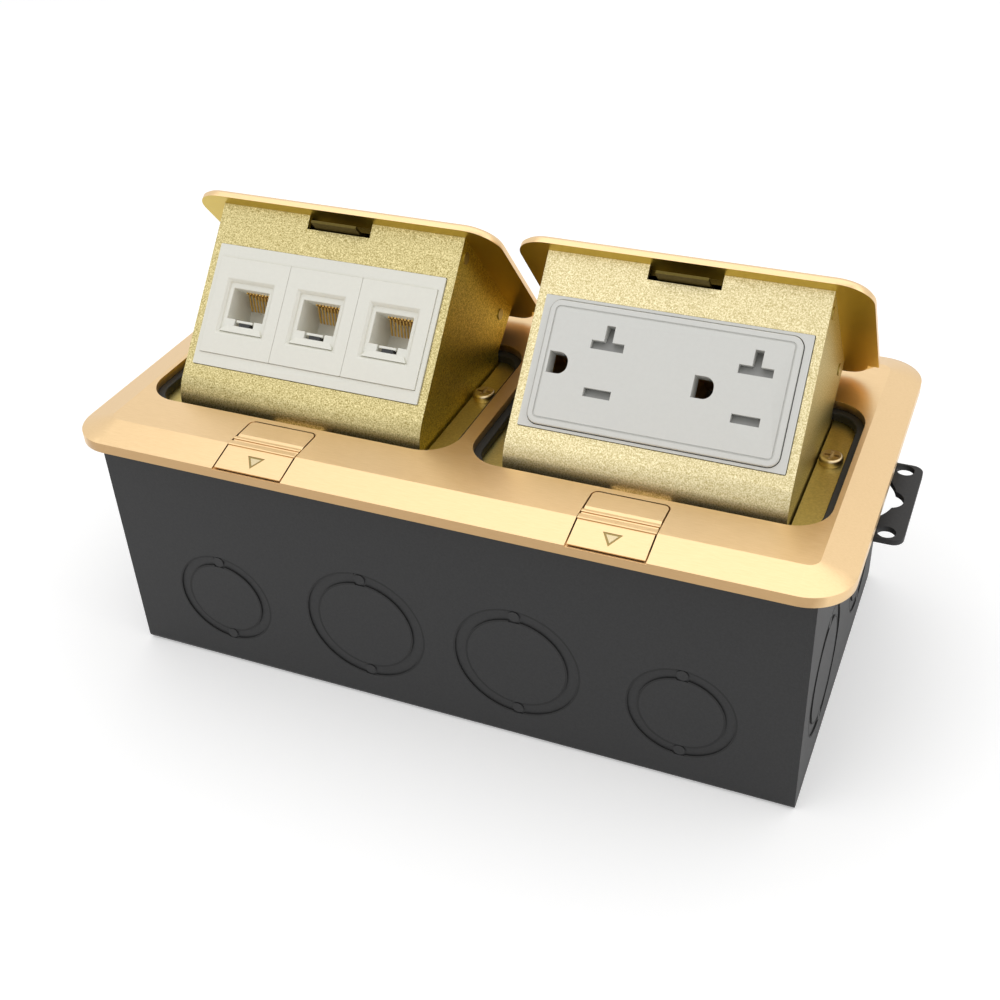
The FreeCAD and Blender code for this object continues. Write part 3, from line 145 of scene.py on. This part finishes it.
def grained_metal(name, dark, light, relief, cheek_light_and_shade):
    """Sandblasted lacquered metal: a fine speckle in colour and height, with painted light and
    shade on its cheeks.
    """
    material, tree, shader = new_material(name)
    shader.inputs["Metallic"].default_value = 1.0
    specks = noise(tree, local_coordinates(tree), CARRIER_GRAIN, 2.0, 0.7)
    colours = ramp(tree, specks, [(0.32, dark), (0.68, light)])
    tree.links.new(colours, shader.inputs["Base Color"])
    rough = spread(tree, specks, CARRIER_ROUGH + 0.1, CARRIER_ROUGH - 0.06)
    tree.links.new(rough, shader.inputs["Roughness"])
    bump(tree, shader, specks, relief)
    # Painted light and shade on the cheeks, the faces turned along X.
    for side in (-1.0, 1.0):
        paint_light_and_shade(tree, shader, facing(tree, (side, 0.0, 0.0), 0.6, 0.9), cheek_light_and_shade)
    return material


def facing(tree, direction, low, high):
    """1 where the surface of a piece faces a direction of its own space, 0 where it doesn't."""
    place = put(tree, "ShaderNodeTexCoord")
    dot = put(tree, "ShaderNodeVectorMath", operation="DOT_PRODUCT")
    dot.inputs[1].default_value = direction
    tree.links.new(place.outputs["Normal"], dot.inputs[0])
    node = put(tree, "ShaderNodeMapRange")
    node.inputs["From Min"].default_value = low
    node.inputs["From Max"].default_value = high
    tree.links.new(dot.outputs["Value"], node.inputs["Value"])
    return node.outputs["Result"]


def paint_light_and_shade(tree, shader, share, colour):
    """Paints light and shade: multiplies the base colour by a colour where share is 1."""
    link = shader.inputs["Base Color"].links[0]
    mix = put(tree, "ShaderNodeMix", data_type="RGBA", blend_type="MULTIPLY")
    tree.links.new(share, mix.inputs[0])
    tree.links.new(link.from_socket, mix.inputs[6])
    mix.inputs[7].default_value = (*colour, 1.0)
    tree.links.new(mix.outputs[2], shader.inputs["Base Color"])


def plain(name, colour, rough, metallic=0.0, speckle=0.0, grain=900.0, relief=0.0):
    """Plastic, rubber or bare metal with a slight unevenness."""
    material, tree, shader = new_material(name)
    shader.inputs["Metallic"].default_value = metallic
    shader.inputs["Roughness"].default_value = rough
    spots = noise(tree, local_coordinates(tree), grain, 3.0, 0.6)
    low = tuple(c * (1.0 - speckle) for c in colour)
    high = tuple(min(1.0, c * (1.0 + speckle)) for c in colour)
    tree.links.new(ramp(tree, spots, [(0.3, low), (0.7, high)]), shader.inputs["Base Color"])
    if relief:
        bump(tree, shader, spots, relief)
    return material


COVER = satin_metal("cover_satin")
# Which way the underside of a lid faces where its pop-up stands open.
OPEN_ANGLE = math.radians(51)
LID_UNDER = (0.0, -math.sin(OPEN_ANGLE), -math.cos(OPEN_ANGLE))
LID = satin_metal("lid_satin", under=LID_UNDER)
# The right carrier is a paler copy of the left carrier's metal: painted light, since both have
# one finish.
CARRIER = grained_metal("carrier_gold", (0.27, 0.215, 0.065), (0.70, 0.61, 0.33), 0.00005,
                        (1.25, 1.12, 0.30))
CARRIER_PAINTED_LIGHT = grained_metal("carrier_painted_light", (0.42, 0.345, 0.15), (0.80, 0.71, 0.46), 0.00004,
                             (0.75, 0.70, 0.45))
# A darkened copy of the olive metal; on the keepers it is painted shade of the notches they sit
# in.
DARK = plain("bracket_dark", (0.10, 0.075, 0.02), 0.45, 1.0, 0.12, 1500.0, 0.00002)
FRAME = plain("frame_olive", (0.62, 0.51, 0.19), 0.38, 1.0, 0.12, 1500.0, 0.00002)
GASKET = plain("gasket_rubber", (0.012, 0.012, 0.012), 0.6, 0.0, 0.2, 2500.0, 0.00002)
STEEL = plain("box_grey", (0.031, 0.031, 0.0315), 0.55, 0.0, 0.10, 1400.0, 0.00002)
SCREW = plain("screw_brass", (0.62, 0.50, 0.30), 0.30, 1.0, 0.06)
RIVET = plain("rivet_olive", (0.42, 0.33, 0.10), 0.36, 1.0, 0.08)
SPRING = plain("spring_steel", (0.35, 0.33, 0.30), 0.30, 1.0, 0.05)
WHITE = plain("data_white", (0.83, 0.82, 0.74), 0.40, 0.0, 0.012)
OUTLET = plain("outlet_white", (0.70, 0.70, 0.665), 0.32, 0.0, 0.012)
STEEL.node_tree.nodes["Principled BSDF"].inputs["Specular IOR Level"].default_value = 0.3
BLACK = plain("outlet_black", (0.02, 0.02, 0.02), 0.5, 0.0, 0.1)
CONTACT = plain("contact_brass", (0.80, 0.52, 0.16), 0.28, 1.0, 0.05)
STRAP = plain("strap_steel", (0.55, 0.55, 0.53), 0.35, 1.0, 0.05)

# Grey shutter plastic, darkened as painted shade of the slots the shutters sit behind.
SHUTTER_GREY_AND_SHADE = plain("shutter_grey_and_shade", (0.27, 0.27, 0.26), 0.45, 0.0, 0.03)
MARK = plain("arrow_brown", (0.3, 0.22, 0.085), 0.40, 1.0, 0.10, 3000.0)
HEART = plain("arrow_gold", (0.6, 0.5, 0.31), 0.40, 1.0, 0.08, 3000.0)
# Black of the knockout rings: partly their sheared slits, partly painted shade of the recessed
# rings.
SLIT_AND_SHADE = plain("slit_and_shade_black", (0.008, 0.008, 0.008), 0.7, 0.0, 0.2, 3000.0)

FINISH = {
    COVER: ["cover_plate", "latch_button_left", "latch_button_right"],
    LID: ["lid_left", "lid_right"],
    CARRIER: ["carrier_left"],
    CARRIER_PAINTED_LIGHT: ["carrier_right"],
    FRAME: ["hinge_frame_left", "hinge_frame_right"],
    DARK: ["keeper_left", "keeper_right", "lid_bracket_left", "lid_bracket_right"],
    GASKET: ["gasket_left", "gasket_right"],
    STEEL: ["box_shell", "end_plate_left", "end_plate_right", "divider_plate",
            "mounting_ear_left", "mounting_ear_right"],
    SCREW: ["frame_screws", "cover_screws", "pivot_pins_left", "pivot_pins_right"],
    RIVET: ["cheek_rivets_left", "cheek_rivets_right"],
    SPRING: ["torsion_spring_left", "torsion_spring_right", "latch_springs_left",
             "latch_springs_right"],
    WHITE: ["data_frame", "jack_module_1", "jack_module_2", "jack_module_3"],
    OUTLET: ["receptacle_trim", "receptacle_face"],
    BLACK: ["receptacle_body"],
    CONTACT: ["receptacle_contacts", "jack_contacts", "terminal_screws"],
    STRAP: ["receptacle_strap", "ground_screw", "ear_screws"],
}

SHARP_EDGE = 32  # degrees; edges that turn by more are rounded
WELD_REACH = 0.002

# Width of the rounding, in millimetres.
SOFT_EDGES = {
    "cover_plate": 0.35, "lid_left": 0.45, "lid_right": 0.45, "latch_button_left": 0.25,
    "latch_button_right": 0.25, "carrier_left": 0.35, "carrier_right": 0.35,
    "receptacle_face": 0.15, "data_frame": 0.25, "jack_module_1": 0.2,
    "jack_module_2": 0.2, "jack_module_3": 0.2, "hinge_frame_left": 0.2, "hinge_frame_right": 0.2,
    "gasket_left": 0.4, "gasket_right": 0.4, "mounting_ear_left": 0.2, "mounting_ear_right": 0.2,
    "box_shell": 0.12, "end_plate_left": 0.12, "end_plate_right": 0.12, "frame_screws": 0.12,
}


def dress():
    for material, names in FINISH.items():
        for name in names:
            mesh = nodes[name].data
            mesh.materials.clear()
            mesh.materials.append(material)


def round_edges(shown, width):
    edge = shown.modifiers.new("edge", "BEVEL")
    edge.width = width * MM
    edge.segments = 3
    edge.limit_method = "ANGLE"
    edge.angle_limit = math.radians(SHARP_EDGE)
    edge.use_clamp_overlap = True
    edge.harden_normals = True


def soften(name, width):
    """Welds the shown mesh and rounds its sharp edges a little."""
    weld = nodes[name].modifiers.new("weld", "WELD")
    weld.merge_threshold = WELD_REACH * MM
    round_edges(nodes[name], width)


dress()
for node_name, edge_width in SOFT_EDGES.items():
    soften(node_name, edge_width)


# ---------------------------------------------------------------- added detail

def add_piece(name, vertices, faces, material, body, width=0.0):
    """A new mesh piece; vertices are in millimetres of the shared frame."""
    mesh = bpy.data.meshes.new(name)
    mesh.from_pydata([tuple(c * MM for c in v) for v in vertices], [], faces)
    mesh.materials.append(material)
    shape = bmesh.new()
    shape.from_mesh(mesh)
    bmesh.ops.recalc_face_normals(shape, faces=shape.faces)
    shape.to_mesh(mesh)
    shape.free()
    piece = bpy.data.objects.new(name, mesh)
    bpy.context.scene.collection.objects.link(piece)
    if width:
        round_edges(piece, width)
    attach(piece, body)


def mount_place(name):
    """Millimetres from a mount, X along the plate, Y up it and Z out of it."""
    mount = [m for m in frame["record"]["mounts"] if m["name"] == name][0]
    spot = Vector(mount["pos_m"]) / MM
    out = Vector(mount["axis"])
    along = Vector((1.0, 0.0, 0.0))
    up = out.cross(along)
    return lambda x, y, z: spot + along * x + up * y + out * z


def prism(name, outline, low, high, place, material, body, width=0.0):
    """An outline made solid from low to high, which are numbers or functions of x and y."""
    vertices = [place(x, y, level(x, y) if callable(level) else level)
                for level in (low, high) for x, y in outline]
    count = len(outline)
    faces = [tuple(range(count))[::-1], tuple(range(count, 2 * count))]
    faces += [(i, (i + 1) % count, count + (i + 1) % count, count + i) for i in range(count)]
    add_piece(name, vertices, faces, material, body, width)


def box_outline(x0, x1, y0, y1):
    return [(x0, y0), (x1, y0), (x1, y1), (x0, y1)]


def make_shutters():
    """Sloping shutters behind the slots of the outlets, in grey darkened with painted shade."""
    spacing, wide, short, high, stem, play = 12.6, 8.9, 7.4, 2.3, 5.4, 0.03
    bottom, top, slope = -4.6, -1.0, 0.42
    half = high / 2 - play
    for number, name in enumerate(("outlet_left", "outlet_right"), 1):
        place = mount_place(name)
        upper = spacing / 2
        bar = wide / 2 - play
        tee = [
            (-bar, upper - half), (bar, upper - half), (bar, upper + half), (half, upper + half),
            (half, upper + stem - play), (-half, upper + stem - play), (-half, upper + half),
            (-bar, upper + half),
        ]
        prism("shutter_tee_%d" % number, tee, bottom,
              lambda x, y: top - slope * (y - upper + half),
              place, SHUTTER_GREY_AND_SHADE, "popup_right")
        flat = box_outline(-short / 2 + play, short / 2 - play, -upper - half, -upper + half)
        prism("shutter_bar_%d" % number, flat, bottom,
              lambda x, y: top - slope * (y + upper + half),
              place, SHUTTER_GREY_AND_SHADE, "popup_right")


def make_port_details():
    """Sill, clip shelf, a black block that is the painted shade of the clip slot, and sloping
    wires of each data port.
    """
    wires, pitch, half_wire, wire_top = 8, 1.02, 0.2, 4.3
    wire_slope, wire_back, wire_front = 0.9, -6.4, -5.9
    for number in (1, 2, 3):
        place = mount_place("data_port_%d" % number)
        sill = [(-6.85, -8.4), (6.85, -8.4), (5.3, -6.35), (-5.3, -6.35)]
        prism("port_sill_%d" % number, sill, -1.45,
              lambda x, y: -0.12 if y < -8 else -1.4, place, WHITE, "popup_left")
        prism("clip_shelf_%d" % number, box_outline(-2.6, 2.6, -5.25, -4.55), -4.0, -1.5, place,
              WHITE, "popup_left", 0.15)
        # Painted shade: a black block where the clip slot's depth is dark.
        prism("clip_slot_shade_%d" % number, box_outline(-1.75, 1.75, -6.3, -5.3), -4.0, -1.75, place,
              BLACK, "popup_left")
        for wire in range(wires):
            middle = (wire - (wires - 1) / 2) * pitch
            side = box_outline(middle - half_wire, middle + half_wire, 0.0, wire_top)
            prism("port_wire_%d_%d" % (number, wire), side,
                  lambda x, y: wire_back + wire_slope * (y - wire_top),
                  lambda x, y: wire_front + wire_slope * (y - wire_top),
                  place, CONTACT, "popup_left")


def make_button_details():
    """Arrow inlay and grip ridges of the latch buttons."""
    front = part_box("cover_plate")[0][1] / MM
    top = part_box("cover_plate")[1][2] / MM
    lip, bevel, thick = 3.0, 9.0, 5.5
    drop = thick - lip
    # Distance behind the bevel's upper edge and half width of each ridge.
    ridges = ((0.4, 0.95), (2.9, 0.6))
    half_ridge, ridge_low, ridge_high = 10.3, -0.6, 0.32
    slope = math.atan2(drop, bevel)
    for side, node in (("left", "latch_button_left"), ("right", "latch_button_right")):
        middle = sum(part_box(node)[i][0] for i in (0, 1)) / 2 / MM

        def on_bevel(x, y, z):
            along = Vector((0.0, math.cos(slope), math.sin(slope)))
            out = Vector((0.0, -math.sin(slope), math.cos(slope)))
            return Vector((middle + x, front, top - drop)) + along * y + out * z

        def on_top(x, y, z):
            return Vector((middle + x, y, top + z))

        body = "latch_" + side
        arrow = [(0.0, 2.45), (2.55, 6.45), (-2.55, 6.45)]
        heart = [(0.0, 3.45), (1.62, 5.95), (-1.62, 5.95)]
        prism("arrow_" + side, arrow, -0.34, -0.1, on_bevel, MARK, body)
        prism("arrow_heart_" + side, heart, -0.34, -0.02, on_bevel, HEART, body,
              0.05)
        for number, (behind, half) in enumerate(ridges, 1):
            y = front + bevel + behind
            bar = box_outline(-half_ridge, half_ridge, y - half, y + half)
            prism("grip_ridge_%s_%d" % (side, number), bar, ridge_low, ridge_high, on_top,
                  COVER, body, 0.3)


def slit_and_shade(name, centre, across, out, radius, width):
    """The sheared line of a knockout and the shade of its recessed ring, as one black ring broken
    at its two ties: partly a real slit, partly painted shade.
    """
    steps, half_tie, sunk, proud = 40, 1.5, -0.3, 0.03
    section = ((radius, sunk), (radius + width, sunk), (radius + width, proud), (radius, proud))
    for part, start in (("a", 0.5 * math.pi), ("b", 1.5 * math.pi)):
        gap = half_tie / radius
        vertices, faces = [], []
        for i in range(steps + 1):
            turn = start + gap + (math.pi - 2 * gap) * i / steps
            for reach, lift in section:
                rise = Vector((0, 0, reach * math.sin(turn)))
                spot = centre + across * (reach * math.cos(turn)) + rise
                vertices.append(spot + out * lift)
        for i in range(steps):
            a, b = 4 * i, 4 * i + 4
            faces += [(a + k, a + (k + 1) % 4, b + (k + 1) % 4, b + k) for k in range(4)]
        faces += [(3, 2, 1, 0), tuple(4 * steps + k for k in range(4))]
        add_piece("slit_%s_%s" % (name, part), vertices, faces, SLIT_AND_SHADE, "base")


# Of a knockout: its depth below the floor and the outer and inner diameter of its ring.
LARGE_RING = (45.3, 37.0, 28.6)
SMALL_RING = (48.4, 30.4, 23.0)
# Distance of each knockout from the middle of a long side, and from the middle of an end.
LONG_SIDE = ((22.9, LARGE_RING), (69.2, SMALL_RING))
END_PLACE = 27.0


def make_knockout_slits_and_shade():
    """Sheared lines of the knockouts on the front, back and ends, widened into black rings of
    painted shade.
    """
    low, high = [Vector(corner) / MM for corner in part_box("box_shell")]
    floor_level = high.z
    sides = []
    for way, y in ((-1, low.y), (1, high.y)):
        for sign in (-1, 1):
            for place, ring in LONG_SIDE:
                sides.append((place * sign, y, ring, Vector((1, 0, 0)), Vector((0, way, 0))))
    for name in ("end_plate_left", "end_plate_right"):
        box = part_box(name)
        way = -1 if name.endswith("left") else 1
        x = (box[0] if way < 0 else box[1])[0] / MM
        for y in (-END_PLACE, END_PLACE):
            sides.append((x, y, LARGE_RING, Vector((0, 1, 0)), Vector((way, 0, 0))))
    for number, (x, y, (below, outer, inner), across, out) in enumerate(sides):
        centre = Vector((x, y, floor_level - below))
        slit_and_shade("%d_outer" % number, centre, across, out, outer / 2 - 0.5, 0.5)
        slit_and_shade("%d_inner" % number, centre, across, out, inner / 2, 0.55)


make_shutters()
make_port_details()
make_button_details()
make_knockout_slits_and_shade()


# ---------------------------------------------------------------- stage

FLOOR_GLOW = 0.26
WORLD_LIGHT = 0.55


def seen_strength(tree, unseen, seen):
    """One strength for light on the object, another for what a camera or reflection sees."""
    paths = put(tree, "ShaderNodeLightPath")
    share = paths.outputs["Is Camera Ray"]
    for kind in ("Is Glossy Ray", "Is Transmission Ray"):
        either = put(tree, "ShaderNodeMath", operation="MAXIMUM")
        tree.links.new(share, either.inputs[0])
        tree.links.new(paths.outputs[kind], either.inputs[1])
        share = either.outputs[0]
    strength = put(tree, "ShaderNodeMapRange")
    strength.inputs["To Min"].default_value = unseen
    strength.inputs["To Max"].default_value = seen
    tree.links.new(share, strength.inputs["Value"])
    return strength.outputs["Result"]


def make_floor():
    bpy.ops.mesh.primitive_plane_add(size=30.0, location=(0, 0, 0))
    floor = bpy.context.object
    floor.name = "floor"
    material, tree, shader = new_material("floor_white")
    shader.inputs["Base Color"].default_value = (0.95, 0.95, 0.95, 1.0)
    shader.inputs["Roughness"].default_value = 0.9
    # Its glow shows to the camera and in reflections only, and lights nothing.
    shader.inputs["Emission Color"].default_value = (1.0, 1.0, 1.0, 1.0)
    tree.links.new(seen_strength(tree, 0.0, FLOOR_GLOW), shader.inputs["Emission Strength"])
    floor.data.materials.append(material)


def area_light(name, place, aim, size, power):
    data = bpy.data.lights.new(name, "AREA")
    data.shape = "RECTANGLE"
    data.size, data.size_y = size
    data.energy = power
    lamp = bpy.data.objects.new(name, data)
    bpy.context.scene.collection.objects.link(lamp)
    lamp.location = place
    lamp.visible_camera = False
    lamp.rotation_mode = "QUATERNION"
    lamp.rotation_quaternion = (Vector(aim) - Vector(place)).to_track_quat("-Z", "Y")


def make_light():
    world = bpy.data.worlds.new("studio")
    bpy.context.scene.world = world
    world.use_nodes = True
    background = world.node_tree.nodes["Background"]
    background.inputs["Color"].default_value = (1.0, 1.0, 1.0, 1.0)
    tree = world.node_tree
    tree.links.new(seen_strength(tree, WORLD_LIGHT, 1.0), background.inputs["Strength"])
    middle = (0.0, 0.0, 0.08)
    area_light("key", (-0.5, -0.7, 0.9), middle, (1.0, 1.0), 2.4)
    area_light("top", (0.1, 0.2, 1.1), middle, (1.7, 1.4), 5.0)
    area_light("right", (1.0, -0.1, 0.5), middle, (0.4, 0.7), 0.9)


# The camera looks at the box from its front right, from above, with a slight tilt of the picture.
AZIMUTH = math.radians(22.95)
ELEVATION = math.radians(35.24)
ROLL = math.radians(-2.02)
DISTANCE = 383.68 * MM
ASIDE = -8.69 * MM
ABOVE = 24.42 * MM
LENS = 48.42
SHIFT = (-0.03728, -0.00639)


def make_camera():
    floor_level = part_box("box_shell")[1][2]
    back = Vector((
        math.sin(AZIMUTH) * math.cos(ELEVATION), -math.cos(AZIMUTH) * math.cos(ELEVATION),
        math.sin(ELEVATION)))
    level = Vector((math.cos(AZIMUTH), math.sin(AZIMUTH), 0.0))
    upright = level.cross(-back)
    right = level * math.cos(ROLL) + upright * math.sin(ROLL)
    up = upright * math.cos(ROLL) - level * math.sin(ROLL)
    place = back * DISTANCE - right * ASIDE - up * ABOVE + Vector((0, 0, floor_level))
    data = bpy.data.cameras.new("camera")
    data.lens = LENS
    data.sensor_width = 36.0
    data.shift_x, data.shift_y = SHIFT
    data.clip_start = 0.01
    data.clip_end = 20.0
    camera = bpy.data.objects.new("camera", data)
    bpy.context.scene.collection.objects.link(camera)
    camera.rotation_mode = "QUATERNION"
    camera.matrix_world = Matrix((
        (right.x, up.x, back.x, place.x), (right.y, up.y, back.y, place.y),
        (right.z, up.z, back.z, place.z), (0, 0, 0, 1)))
    bpy.context.scene.camera = camera


make_floor()
make_light()
make_camera()

bpy.context.scene.view_settings.view_transform = "Standard"
